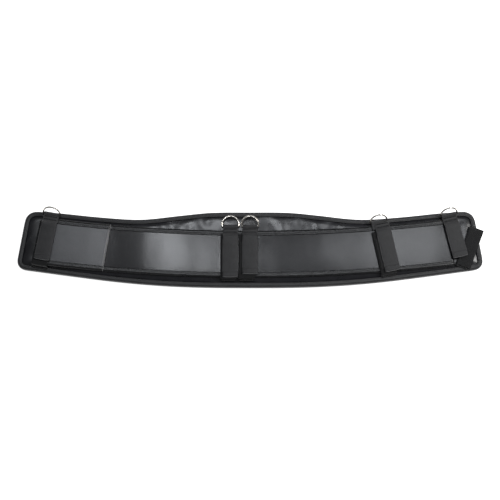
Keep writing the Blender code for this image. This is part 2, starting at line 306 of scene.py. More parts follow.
@dataclass(frozen=True)
class ClothFinish:
    """A woven, knitted or coated cloth."""

    name: str
    low: RGB
    high: RGB
    rough: tuple[float, float]
    weave: Weave
    pitch: float
    depth: float
    sheen: float = 0.0
    slant: float = 0.0
    specular: float = 0.5
    mottle_size: float = 0.03
    mottle_contrast: float = 1.6
    by_uv: bool = True
    relief_shade_contrast: float = 0.8
    dust: float = 0.07
    relief: float = 0.8

    def build(self, finishes: Finishes) -> bpy.types.Material:
        """Make the material.

        Args:
            finishes: Where the shared effects are.

        Returns:
            The material.
        """
        made, s, shader = fresh_material(self.name)
        place = s.add("TexCoord")
        body = place.outputs["Object"]
        yarn = place.outputs["UV"] if self.by_uv else body
        mottle = s.group(
            finishes.mottle,
            {"Place": body, "Size": self.mottle_size, "Contrast": self.mottle_contrast},
        )
        height = self._height(s, finishes, yarn, body)
        # Painted shade: the relief's hollows are coloured darker and its crowns lighter, on top of the
        # cloud's real uneven tone.
        shade = s.math("MULTIPLY_ADD", height, self.relief_shade_contrast, mottle.outputs["Cloud"])
        lit = s.math("SUBTRACT", shade, self.relief_shade_contrast / 2)
        colour = s.add("Mix", {0: lit, 6: (*self.low, 1.0), 7: (*self.high, 1.0)}, data_type="RGBA")
        colour.clamp_factor = True
        dusty = s.add(
            "Mix",
            {
                0: s.math("MULTIPLY", mottle.outputs["Dust"], self.dust),
                6: colour.outputs[2],
                7: DUST_COLOUR,
            },
            data_type="RGBA",
        )
        bump = s.add("Bump", {"Height": height, "Distance": self.depth, "Strength": self.relief})
        fed = {
            "Base Color": dusty.outputs[2],
            "Roughness": s.spread(mottle.outputs["Cloud"], *self.rough),
            "Normal": bump.outputs[0],
        }
        for socket, value in fed.items():
            s.tree.links.new(value, shader.inputs[socket])
        shader.inputs["Specular IOR Level"].default_value = self.specular
        shader.inputs["Sheen Weight"].default_value = self.sheen
        shader.inputs["Sheen Roughness"].default_value = 0.45
        return made

    def _height(
        self,
        s: NodeSketch,
        finishes: Finishes,
        yarn: bpy.types.NodeSocket,
        body: bpy.types.NodeSocket,
    ) -> bpy.types.NodeSocket:
        """Choose the yarn relief.

        Args:
            s: The material's sketch.
            finishes: Where the shared effects are.
            yarn: Coordinates that follow the cloth.
            body: Coordinates fixed in the piece.

        Returns:
            A height between about 0 and 1.
        """
        if self.weave is Weave.BASKET:
            return s.group(finishes.basket, {"Place": yarn, "Pitch": self.pitch}).outputs["Height"]
        if self.weave is Weave.RIBBED:
            sizes = {"Place": yarn, "Pitch": self.pitch, "Slant": self.slant}
            return s.group(finishes.ribs, sizes).outputs["Height"]
        if self.weave is Weave.GRAIN:
            return s.group(finishes.grain, {"Place": body, "Pebble": self.pitch}).outputs["Height"]
        cells = s.add("TexVoronoi", {"Vector": body, "Scale": 1.0 / self.pitch})
        if self.weave is Weave.NET:
            holes = s.add("MapRange", {"Value": cells.outputs["Distance"], "From Max": 0.45})
            return holes.outputs[0]
        tufts = s.add("TexNoise", {"Vector": body, "Scale": 0.6 / self.pitch, "Detail": 6.0})
        return s.math("MULTIPLY_ADD", cells.outputs["Distance"], 0.6, tufts.outputs[0])


@dataclass(frozen=True)
class MetalFinish:
    """Plated wire."""

    name: str
    colour: RGB
    tarnish: RGB
    rough: tuple[float, float]

    def build(self, finishes: Finishes) -> bpy.types.Material:
        """Make the material.

        Args:
            finishes: Where the shared effects are.

        Returns:
            The material.
        """
        made, s, shader = fresh_material(self.name)
        body = s.add("TexCoord").outputs["Object"]
        mottle = s.group(finishes.mottle, {"Place": body, "Size": 0.006, "Contrast": 1.2})
        ends = {0: mottle.outputs["Cloud"], 6: (*self.tarnish, 1.0), 7: (*self.colour, 1.0)}
        colour = s.add("Mix", ends, data_type="RGBA")
        s.tree.links.new(colour.outputs[2], shader.inputs["Base Color"])
        s.tree.links.new(
            s.spread(mottle.outputs["Cloud"], *self.rough), shader.inputs["Roughness"]
        )
        scratch = s.add("TexNoise", {"Vector": body, "Scale": 900.0, "Detail": 3.0})
        bump = s.add("Bump", {"Height": scratch.outputs[0], "Distance": 0.00001})
        s.tree.links.new(bump.outputs[0], shader.inputs["Normal"])
        shader.inputs["Metallic"].default_value = 1.0
        return made


VINYL = ClothFinish(
    "glossy_vinyl", (0.004, 0.004, 0.0055), (0.013, 0.013, 0.016), (0.25, 0.31), Weave.GRAIN, 0.0012,
    0.000018, specular=0.52, mottle_size=0.02, by_uv=False, relief_shade_contrast=0.45,
)
BAND_CLOTH = ClothFinish(
    "satin_band_cloth", (0.006, 0.006, 0.007), (0.020, 0.020, 0.022), (0.165, 0.19), Weave.BASKET,
    0.0009, 0.000011, sheen=0.04, specular=0.32, mottle_size=0.06,
)
# A lighter, bluer copy of the band cloth for the overlap, standing in for its grey-blue sheen: painted sheen.
OVERLAP_SHEEN_CLOTH = ClothFinish(
    "overlap_satin_painted_sheen", (0.010, 0.0105, 0.0125), (0.030, 0.031, 0.037), (0.30, 0.35), Weave.BASKET,
    0.0009, 0.00003, sheen=0.05, specular=0.66, mottle_size=0.06,
)
EDGE_TAPE = ClothFinish(
    "band_edge_tape", (0.006, 0.006, 0.0065), (0.018, 0.018, 0.019), (0.24, 0.30), Weave.RIBBED,
    0.0012, 0.00006, sheen=0.02, slant=0.5, specular=0.32,
)
BINDING = ClothFinish(
    "rolled_binding_tape", (0.009, 0.009, 0.010), (0.027, 0.027, 0.029), (0.42, 0.55), Weave.RIBBED,
    0.0010, 0.00012, sheen=0.12, slant=0.6, mottle_size=0.02,
)
WEBBING = ClothFinish(
    "keeper_webbing", (0.013, 0.013, 0.014), (0.036, 0.036, 0.038), (0.55, 0.70), Weave.RIBBED,
    0.0016, 0.00022, sheen=0.15, slant=1.0, mottle_size=0.012,
)
# A lighter copy of the webbing for thin strands along the straps' long edges: painted edge highlight.
WEBBING_SIDE_HIGHLIGHT = ClothFinish(
    "keeper_webbing_side_highlight", (0.026, 0.026, 0.027), (0.070, 0.070, 0.073), (0.45, 0.60), Weave.RIBBED,
    0.0010, 0.00012, slant=0.8, mottle_size=0.006,
)
# A pale copy of the webbing for the hem's folded end: painted highlight.
HEM_HIGHLIGHT = ClothFinish(
    "hem_fold_painted_highlight", (0.050, 0.050, 0.052), (0.130, 0.130, 0.134), (0.50, 0.65), Weave.RIBBED,
    0.0010, 0.00012, slant=0.8, mottle_size=0.004,
)
# Near-black webbing, darkened further for the shade under the front straps: real dark webbing and painted
# shade.
HOOK_WEBBING_AND_SHADE = ClothFinish(
    "hook_strap_webbing_and_shade", (0.003, 0.003, 0.003), (0.009, 0.009, 0.010), (0.65, 0.80), Weave.RIBBED,
    0.0016, 0.00022, sheen=0.04, slant=1.0, mottle_size=0.012, specular=0.3,
)
PILE = ClothFinish(
    "hook_and_loop_pile", (0.004, 0.004, 0.004), (0.016, 0.016, 0.017), (0.85, 0.98), Weave.PILE,
    0.0009, 0.00060, sheen=0.25, by_uv=False,
)
LINING = ClothFinish(
    "air_mesh_lining", (0.045, 0.045, 0.048), (0.140, 0.140, 0.146), (0.75, 0.90), Weave.NET,
    0.0026, 0.00080, sheen=0.20, by_uv=False,
)
THREAD = ClothFinish(
    "bonded_thread", (0.020, 0.020, 0.021), (0.050, 0.050, 0.052), (0.45, 0.60), Weave.PILE,
    0.0006, 0.00010, by_uv=False,
)
# Near-black thread for fat rows across the ring tabs, standing in for the shaded fold lines there: real
# stitches and painted shade.
FOLD_SHADE_THREAD = ClothFinish(
    "tab_thread_painted_fold_shade", (0.002, 0.002, 0.002), (0.007, 0.007, 0.007), (0.60, 0.75), Weave.PILE,
    0.0006, 0.00010, by_uv=False, specular=0.2,
)
# A pale finish for a thin strand along the overlap's end: painted edge highlight.
END_HIGHLIGHT = ClothFinish(
    "heat_cut_edge", (0.120, 0.120, 0.122), (0.360, 0.360, 0.365), (0.50, 0.70), Weave.PILE,
    0.0008, 0.00020, by_uv=False, mottle_size=0.006,
)
NICKEL = MetalFinish("nickel_plate", (0.80, 0.77, 0.72), (0.60, 0.56, 0.50), (0.14, 0.28))


# ---------------------------------------------------------------- mesh helpers


def loft(name: str, rings: Sequence[Sequence[Vector]], looped: bool = False) -> Obj:
    """Skin closed rings of points, with UVs in metres along and round the skin.

    Args:
        name: The new object's name.
        rings: Rings with the same number of points, in order along the piece.
        looped: Whether the last ring joins the first. Open ends are capped.

    Returns:
        The object.
    """
    bm = bmesh.new()
    uv = bm.loops.layers.uv.new("cloth")
    verts = [[bm.verts.new(point) for point in ring] for ring in rings]
    count = len(rings[0])
    middles = [sum(ring, Vector()) / count for ring in rings]
    along = [0.0]
    for before, after in zip(middles, middles[1:] + middles[:1]):
        along.append(along[-1] + (after - before).length)
    first = rings[len(rings) // 2]
    around = [0.0]
    for k in range(count):
        around.append(around[-1] + (first[(k + 1) % count] - first[k]).length)
    steps = len(rings) if looped else len(rings) - 1
    for i in range(steps):
        j = (i + 1) % len(rings)
        for k in range(count):
            n = (k + 1) % count
            face = bm.faces.new((verts[i][k], verts[j][k], verts[j][n], verts[i][n]))
            places = ((i, k), (i + 1, k), (i + 1, k + 1), (i, k + 1))
            for loop, (a, b) in zip(face.loops, places):
                loop[uv].uv = (along[a], around[b])
            face.smooth = True
    if not looped:
        bm.faces.new(list(reversed(verts[0])))
        bm.faces.new(verts[-1])
    bmesh.ops.recalc_face_normals(bm, faces=bm.faces)
    return object_of(name, bm)


def object_of(name: str, bm: bmesh.types.BMesh) -> Obj:
    """Turn a bmesh into an object in the scene.

    Args:
        name: The object's name.
        bm: The mesh, which is freed.

    Returns:
        The object.
    """
    mesh = bpy.data.meshes.new(name)
    bm.to_mesh(mesh)
    bm.free()
    made = bpy.data.objects.new(name, mesh)
    bpy.context.scene.collection.objects.link(made)
    return made


def apply_modifiers(obj: Obj) -> None:
    """Bake an object's modifiers into its mesh."""
    graph = bpy.context.evaluated_depsgraph_get()
    baked = bpy.data.meshes.new_from_object(obj.evaluated_get(graph))
    obj.modifiers.clear()
    obj.data = baked


def subdivide(obj: Obj) -> None:
    """Smooth a mesh by one subdivision and keep the result."""
    smooth = obj.modifiers.new("smooth", "SUBSURF")
    smooth.levels = smooth.render_levels = 1
    apply_modifiers(obj)


def lefts_of(line: Sequence[Vector], looped: bool) -> Path:
    """Unit vectors to the left of each point of a flat line.

    Args:
        line: Points whose X and Y are used.
        looped: Whether the line closes on itself.

    Returns:
        One flat vector for each point.
    """
    found = []
    for i, point in enumerate(line):
        before = line[i - 1] if looped or i else point
        after = line[(i + 1) % len(line)] if looped or i < len(line) - 1 else point
        run = (after - before).normalized()
        found.append(Vector((-run.y, run.x, 0.0)))
    return found


def resampled(line: Sequence[Vector], step: float, looped: bool) -> Path:
    """Points at even distances along a line.

    Args:
        line: The line's points.
        step: The distance wanted.
        looped: Whether the line closes on itself.

    Returns:
        The new points.
    """
    points = np.array([tuple(point) for point in line])
    if looped:
        points = np.vstack([points, points[:1]])
    run = np.concatenate([[0.0], np.cumsum(np.linalg.norm(np.diff(points, axis=0), axis=1))])
    count = max(2, round(run[-1] / step))
    at = np.linspace(0.0, run[-1], count + 1)
    if looped:
        at = at[:-1]
    columns = [np.interp(at, run, points[:, k]) for k in range(points.shape[1])]
    return [Vector(row) for row in np.stack(columns, axis=1)]


def softened(line: Path, reach: int) -> Path:
    """A looped line with its corners eased by a moving average."""
    count = len(line)
    window = range(-reach, reach + 1)
    return [sum((line[(i + k) % count] for k in window), Vector()) / len(window) for i in range(count)]


def wobble(*place: float, seed: float = 0.0) -> float:
    """Smooth noise between about -1 and 1 at a place, in the noise's own units."""
    x, y, z = (*place, 0.0, 0.0)[:3]
    return noise(Vector((x + seed * 17.3, y - seed * 5.1, z + seed * 3.7)))


STITCH_RINGS = ((-0.5, 0.35, -0.3), (-0.28, 1.0, 0.25), (0.28, 1.0, 0.25), (0.5, 0.35, -0.3))


def stitches(
    name: str, line: Path, ups: Sequence[Vector], pitch: float = 3.4, looped: bool = False,
    thick: float = 0.30,
) -> Obj:
    """A run of sewn stitches, each a small sunk capsule of thread.

    Args:
        name: The object's name.
        line: Where the seam runs, on the cloth.
        ups: The cloth's outward direction at each point of line, or one for all.
        pitch: Distance between stitches, in millimetres.
        looped: Whether the seam closes on itself.
        thick: The thread's radius, in millimetres.

    Returns:
        One object with all the stitches.
    """
    length, radius, sides = pitch * 0.74 * MM, thick * MM, 6
    spots = resampled(line, pitch * MM, looped)
    bm = bmesh.new()
    for i in range(len(spots) - (0 if looped else 1)):
        a, b = spots[i], spots[(i + 1) % len(spots)]
        run = (b - a).normalized()
        up = ups[min(int(i * len(ups) / len(spots)), len(ups) - 1)]
        side = run.cross(up).normalized()
        rise = side.cross(run)
        middle = (a + b) / 2
        rings = []
        for share, fat, sink in STITCH_RINGS:
            centre = middle + run * (share * length) + rise * (sink * radius)
            angles = [2 * math.pi * k / sides for k in range(sides)]
            ring = [
                bm.verts.new(centre + (side * math.cos(t) + rise * math.sin(t)) * radius * fat)
                for t in angles
            ]
            rings.append(ring)
        for lower, upper in zip(rings, rings[1:]):
            for k in range(sides):
                n = (k + 1) % sides
                bm.faces.new((lower[k], lower[n], upper[n], upper[k])).smooth = True
        bm.faces.new(list(reversed(rings[0])))
        bm.faces.new(rings[-1])
    bmesh.ops.recalc_face_normals(bm, faces=bm.faces)
    return object_of(name, bm)


def dress(obj: Obj, material: bpy.types.Material, body: str | None, slot: str, *nodes: str) -> Obj:
    """Give a piece its material and the body that it moves with, and hide the CAD nodes that it stands for.

    Args:
        obj: The piece.
        material: Its material.
        body: The CAD body, or None to leave the piece unattached.
        slot: Not used.
        *nodes: CAD nodes that the piece stands for.

    Returns:
        The piece.
    """
    obj.data.materials.clear()
    obj.data.materials.append(material)
    if nodes:
        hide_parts(*nodes)
    if body:
        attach(obj, body)
    LOG.info("%s: %d faces", obj.name, len(obj.data.polygons))
    return obj


# ---------------------------------------------------------------- the pad's plan


@dataclass(frozen=True)
class PadPlan:
    """The pad's outline, read from the frame's face panel, and the band's centreline."""

    face_inset: float = 2.4 * MM
    band_low: float = -7.4 * MM
    band_curve: float = 0.183
    band_half: float = 38.0 * MM
    step: float = 2.2 * MM

    def outline(self) -> Path:
        """The pad's outer edge, anticlockwise, at even small steps.

        Returns:
            Flat points.
        """
        mesh = frame["nodes"]["face_panel"].data
        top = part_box("face_panel")[1].z
        flat = {(round(v.co.x, 6), round(v.co.y, 6)) for v in mesh.vertices if top - v.co.z < 1e-5}
        ordered = sorted(flat, key=lambda p: math.atan2(p[1], p[0]))
        line = resampled([Vector((x, y, 0.0)) for x, y in ordered], self.step, True)
        line = softened(line, 2)
        lefts = lefts_of(line, True)
        return [point - left * self.face_inset for point, left in zip(line, lefts)]

    def across(self, x: float, y: float) -> float:
        """Distance of a place from the band's centreline, positive toward the upper edge."""
        slope = 2 * self.band_curve * x
        return (y - self.band_low - self.band_curve * x * x) / math.hypot(1.0, slope)

    def band_point(self, x: float, offset: float) -> Vector:
        """A place beside the band's centreline.

        Args:
            x: Where along the centreline.
            offset: Distance toward the upper edge.

        Returns:
            The flat place.
        """
        slope = 2 * self.band_curve * x
        scale = offset / math.hypot(1.0, slope)
        return Vector((x - slope * scale, self.band_low + self.band_curve * x * x + scale, 0.0))


def smoothstep(low: float, high: float, value: float) -> float:
    """Ease from 0 at low to 1 at high."""
    t = min(max((value - low) / (high - low), 0.0), 1.0)
    return t * t * (3 - 2 * t)


# ---------------------------------------------------------------- back rest


# Sections of folded tape, as (inward from its outer edge, height), in millimetres.
BINDING_SECTION = (
    (7.9, 11.00), (8.0, 11.35), (7.4, 11.62), (6.6, 11.50), (5.6, 11.85), (4.2, 12.05),
    (2.7, 11.80), (1.3, 10.95), (0.45, 9.60), (0.08, 7.90), (0.0, 6.10), (0.06, 4.20),
    (0.40, 2.40), (1.2, 1.05), (2.6, 0.30), (4.4, 0.08), (6.6, 0.22), (8.0, 0.12), (8.0, 0.80),
    (6.4, 1.00), (2.9, 1.15), (1.5, 2.30), (1.15, 6.0), (1.5, 9.50), (2.9, 10.70), (6.4, 10.85),
)
TAPE_SECTION = (
    (8.2, 2.75), (8.0, 3.25), (7.0, 3.30), (6.2, 3.18), (5.0, 3.45), (3.0, 3.60), (1.2, 3.35),
    (0.25, 2.60), (0.0, 1.70), (0.25, 0.80), (1.2, 0.20), (4.0, 0.05), (8.2, 0.10), (8.2, 0.75),
    (3.0, 0.85), (1.0, 1.70), (3.0, 2.70),
)


@dataclass(frozen=True)
class PuffCloth:
    """How stiff the vinyl is and how hard the foam presses on it."""

    quality: int = 6
    mass: float = 0.25
    stretch: float = 18.0
    bending: float = 0.6
    pressure: float = 4.0
    growth: float = 0.022
    steps: int = 20


@dataclass
class BackRest:
    """Padded face, rolled binding and quilted lining."""

    plan: PadPlan
    finishes: Finishes
    cell: float = 4.0 * MM
    rows: int = 34
    face_top: float = 10.2 * MM
    face_low: float = 2.6 * MM
    held_rim: float = 9.0 * MM
    puff_cap: float = 1.4 * MM
    pucker: float = 0.12 * MM
    edge_roll: float = 1.7 * MM
    groove_slope: float = 0.32
    tucks: tuple[tuple[float, float, float], ...] = (
        (-0.211, 1.6, 0.006),
        (-0.162, 1.8, 0.006),
        (-0.125, -1.2, 0.008),
    )
    band_ends: float = 330 * MM
    band_tuck: float = 1.5 * MM
    pucker_reach: float = 5.0 * MM
    groove_start: float = 2.0 * MM
    groove_ease: float = 4.0 * MM
    upper_roll: tuple[float, float] = (0.6, 0.9 * MM)
    lower_roll: tuple[float, float] = (1.0, 3.5 * MM)
    channel_pitch: float = 41.0 * MM
    channel_depth: float = 1.7 * MM
    cloth: PuffCloth = PuffCloth()
    relaxing: int = 4
    binding_roll: float = 0.18 * MM
    seam_inset: float = 6.6 * MM

    def build(self) -> None:
        """Build and dress the back rest's pieces."""
        edge = self.plan.outline()
        self._cushion(edge)
        self._binding(edge)
        self._lining(edge)

    def _grid(self, edge: Path, inset: float) -> np.ndarray:
        """Quad-grid places inside the outline.

        Args:
            edge: The pad's outer edge.
            inset: How far inside it the grid stays.

        Returns:
            The places as columns by rows by 2.
        """
        lefts = lefts_of(edge, True)
        loop = np.array([tuple((p + n * inset).xy) for p, n in zip(edge, lefts)])
        ends = loop[:, 0].min(), loop[:, 0].max()
        count = round((ends[1] - ends[0]) / self.cell)
        xs = np.linspace(ends[0] + 0.3 * MM, ends[1] - 0.3 * MM, count + 1)
        after = np.roll(loop, -1, axis=0)
        columns = []
        for x in xs:
            hit = (loop[:, 0] - x) * (after[:, 0] - x) <= 0
            a, b = loop[hit], after[hit]
            run = np.where(np.abs(b[:, 0] - a[:, 0]) < 1e-9, 1e-9, b[:, 0] - a[:, 0])
            ys = a[:, 1] + (x - a[:, 0]) / run * (b[:, 1] - a[:, 1])
            rise = np.linspace(ys.min(), ys.max(), self.rows + 1)
            columns.append(np.stack([np.full_like(rise, x), rise], axis=1))
        return np.array(columns)

    def _slab(self, name: str, places: np.ndarray, tops: np.ndarray, lows: np.ndarray) -> Obj:
        """A closed slab over a quad grid.

        Args:
            name: The object's name.
            places: Columns by rows of flat places.
            tops: Height of the upper face at each place.
            lows: Height of the lower face at each place.

        Returns:
            The slab.
        """
        bm = bmesh.new()
        m, n = places.shape[:2]
        up = [[bm.verts.new((*places[i, j], tops[i, j])) for j in range(n)] for i in range(m)]
        down = [[bm.verts.new((*places[i, j], lows[i, j])) for j in range(n)] for i in range(m)]
        for i in range(m - 1):
            for j in range(n - 1):
                bm.faces.new((up[i][j], up[i + 1][j], up[i + 1][j + 1], up[i][j + 1]))
                bm.faces.new((down[i][j], down[i][j + 1], down[i + 1][j + 1], down[i + 1][j]))
        rim = [(i, 0) for i in range(m)] + [(m - 1, j) for j in range(1, n)]
        rim += [(i, n - 1) for i in range(m - 2, -1, -1)] + [(0, j) for j in range(n - 2, 0, -1)]
        for (a, b), (c, d) in zip(rim, rim[1:] + rim[:1]):
            bm.faces.new((down[a][b], down[c][d], up[c][d], up[a][b]))
        for face in bm.faces:
            face.smooth = True
        bmesh.ops.recalc_face_normals(bm, faces=bm.faces)
        return object_of(name, bm)

    def _inward(self, edge: Path, places: np.ndarray) -> np.ndarray:
        """Distance of each place from the pad's outer edge."""
        loop = np.array([tuple(p.xy) for p in edge])
        flat = places.reshape(-1, 2)
        found = np.empty(len(flat))
        for start in range(0, len(flat), 2000):
            part = flat[start : start + 2000]
            gaps = np.linalg.norm(part[:, None, :] - loop[None, :, :], axis=2)
            found[start : start + 2000] = gaps.min(axis=1)
        return found.reshape(places.shape[:2])

    def _cushion(self, edge: Path) -> None:
        """Puff the vinyl face between its seams with a cloth simulation."""
        places = self._grid(edge, 3.0 * MM)
        level = np.full(places.shape[:2], self.face_top)
        piece = self._slab("puffed_vinyl_face", places, level, np.full_like(level, self.face_low))
        rim = self._inward(edge, places).reshape(-1)
        signed = np.array([self.plan.across(x, y) for x, y in places.reshape(-1, 2)])
        across = np.abs(signed)
        beyond = np.abs(places.reshape(-1, 2)[:, 0]) > self.band_ends
        free = (rim > self.held_rim) & ((across > self.plan.band_half - self.band_tuck) | beyond)
        top_count = len(rim)
        held = [i for i in range(len(piece.data.vertices)) if i >= top_count or not free[i]]
        self._puff(piece, held)
        self._settle(piece, held)
        seam = np.minimum(rim - self.held_rim, np.abs(across - self.plan.band_half))
        for i in range(top_count):
            point = piece.data.vertices[i].co
            drop = max(-signed[i] - self.plan.band_half + self.groove_start, 0.0)
            share, ease = self.upper_roll if signed[i] > 0 else self.lower_roll
            rolled = share * self.edge_roll * math.exp(-max(rim[i] - self.held_rim, 0.0) / ease)
            groove = 0.0 if beyond[i] else self.groove_slope * drop
            flattened = 0.0 if beyond[i] else smoothstep(0.0, self.groove_ease, drop)
            loose = self.pucker * (1.0 - flattened) if free[i] else 0.0
            point.z += loose * self._creases(point, seam[i]) - max(rolled, groove)
        subdivide(piece)
        dress(piece, self.finishes.of(VINYL), "pad", "face_vinyl", "face_panel", "foam_core")

    def _creases(self, point: Vector, seam: float) -> float:
        """Height of the vinyl's creases.

        Args:
            point: A place on the face.
            seam: Its distance from the nearest seam.

        Returns:
            The height, as a share of the pucker.
        """
        ripple = wobble(point.x / 0.013, point.y / 0.030, seed=2.0)
        fold = wobble(point.x / 0.045, point.y / 0.050, seed=5.0)
        for where, tall, wide in self.tucks:
            fold += tall * math.exp(-(((point.x - where + 0.25 * (point.y - 0.04)) / wide) ** 2))
        return 0.4 * ripple * math.exp(-max(seam, 0.0) / self.pucker_reach) + fold

    def _puff(self, piece: Obj, held: list[int]) -> None:
        """Blow the cloth up a little and keep the result.

        Args:
            piece: The closed slab.
            held: Vertices that are sewn down.
        """
        rest = np.array([tuple(v.co) for v in piece.data.vertices])
        piece.vertex_groups.new(name="sewn").add(held, 1.0, "REPLACE")
        cloth = piece.modifiers.new("cloth", "CLOTH")
        cloth.settings.quality = self.cloth.quality
        cloth.settings.mass = self.cloth.mass
        cloth.settings.tension_stiffness = self.cloth.stretch
        cloth.settings.compression_stiffness = self.cloth.stretch
        cloth.settings.bending_stiffness = self.cloth.bending
        cloth.settings.use_pressure = True
        cloth.settings.uniform_pressure_force = self.cloth.pressure
        cloth.settings.shrink_min = -self.cloth.growth
        cloth.settings.vertex_group_mass = "sewn"
        cloth.settings.effector_weights.gravity = 0.0
        cloth.collision_settings.use_collision = False
        cloth.point_cache.frame_start = 1
        cloth.point_cache.frame_end = self.cloth.steps
        scene = bpy.context.scene
        for step in range(1, self.cloth.steps + 1):
            scene.frame_set(step)
        apply_modifiers(piece)
        scene.frame_set(1)
        for vertex, start in zip(piece.data.vertices, rest):
            moved = np.array(tuple(vertex.co)) - start
            length = float(np.linalg.norm(moved))
            kept = self.puff_cap * math.tanh(length / self.puff_cap)
            if length > 1e-9:
                vertex.co = Vector(start + moved * (kept / length))

    def _settle(self, piece: Obj, held: list[int]) -> None:
        """Relax the fine wrinkles and keep the broad ones.

        Args:
            piece: The puffed slab.
            held: Vertices that stay where they are.
        """
        fixed = set(held)
        bm = bmesh.new()
        bm.from_mesh(piece.data)
        bm.verts.ensure_lookup_table()
        loose = [v for v in bm.verts if v.index not in fixed]
        for _ in range(self.relaxing):
            bmesh.ops.smooth_vert(
                bm, verts=loose, factor=0.5, use_axis_x=True, use_axis_y=True, use_axis_z=True
            )
        bm.to_mesh(piece.data)
        bm.free()

    def _binding(self, edge: Path) -> None:
        """Roll a folded tape round the whole edge and stitch it."""
        lefts = lefts_of(edge, True)
        rings = []
        for i, (point, left) in enumerate(zip(edge, lefts)):
            run = i * self.plan.step / MM
            ring = []
            for inward, height in BINDING_SECTION:
                swell = wobble(run / 11.0, inward / 4.0, height / 5.0, seed=1.0)
                slow = wobble(run / 60.0, height / 9.0, seed=8.0)
                fold = self.binding_roll * swell + 0.25 * MM * slow
                outer = 1.0 if inward < 6.0 else 0.4
                lift = fold * outer if height > 3.0 else 0.0
                ring.append(point + left * (inward * MM) + Vector((0.0, 0.0, height * MM + lift)))
            rings.append(ring)
        piece = loft("rolled_edge_binding", rings, looped=True)
        dress(piece, self.finishes.of(BINDING), "pad", "binding_tape", "edge_binding")
        for label, height, up in (("upper", 11.62, 1.0), ("lower", 0.16, -1.0)):
            seam = [p + n * self.seam_inset + Vector((0, 0, height * MM)) for p, n in zip(edge, lefts)]
            row = stitches(f"binding_{label}_stitches", seam, [Vector((0, 0, up))], 3.2, True)
            dress(row, self.finishes.of(THREAD), "pad", "binding_tape")

    def _lining(self, edge: Path) -> None:
        """Quilt the air-mesh lining in long channels."""
        places = self._grid(edge, 3.2 * MM)
        rim = self._inward(edge, places)
        flat = places.reshape(-1, 2)
        across = np.array([self.plan.across(x, y) for x, y in flat]).reshape(rim.shape)
        channel = np.abs(np.sin(across / self.channel_pitch * math.pi + math.pi / 4))
        puff = np.power(channel, 0.45)
        sunk = 0.20 * MM + self.channel_depth * (1.0 - puff)
        lows = np.where(rim < 8.4 * MM, 1.35 * MM, sunk)
        piece = self._slab("quilted_lining", places, np.full(rim.shape, 2.3 * MM), lows)
        subdivide(piece)
        dress(piece, self.finishes.of(LINING), "pad", "mesh_lining", "body_lining")


# ---------------------------------------------------------------- bands


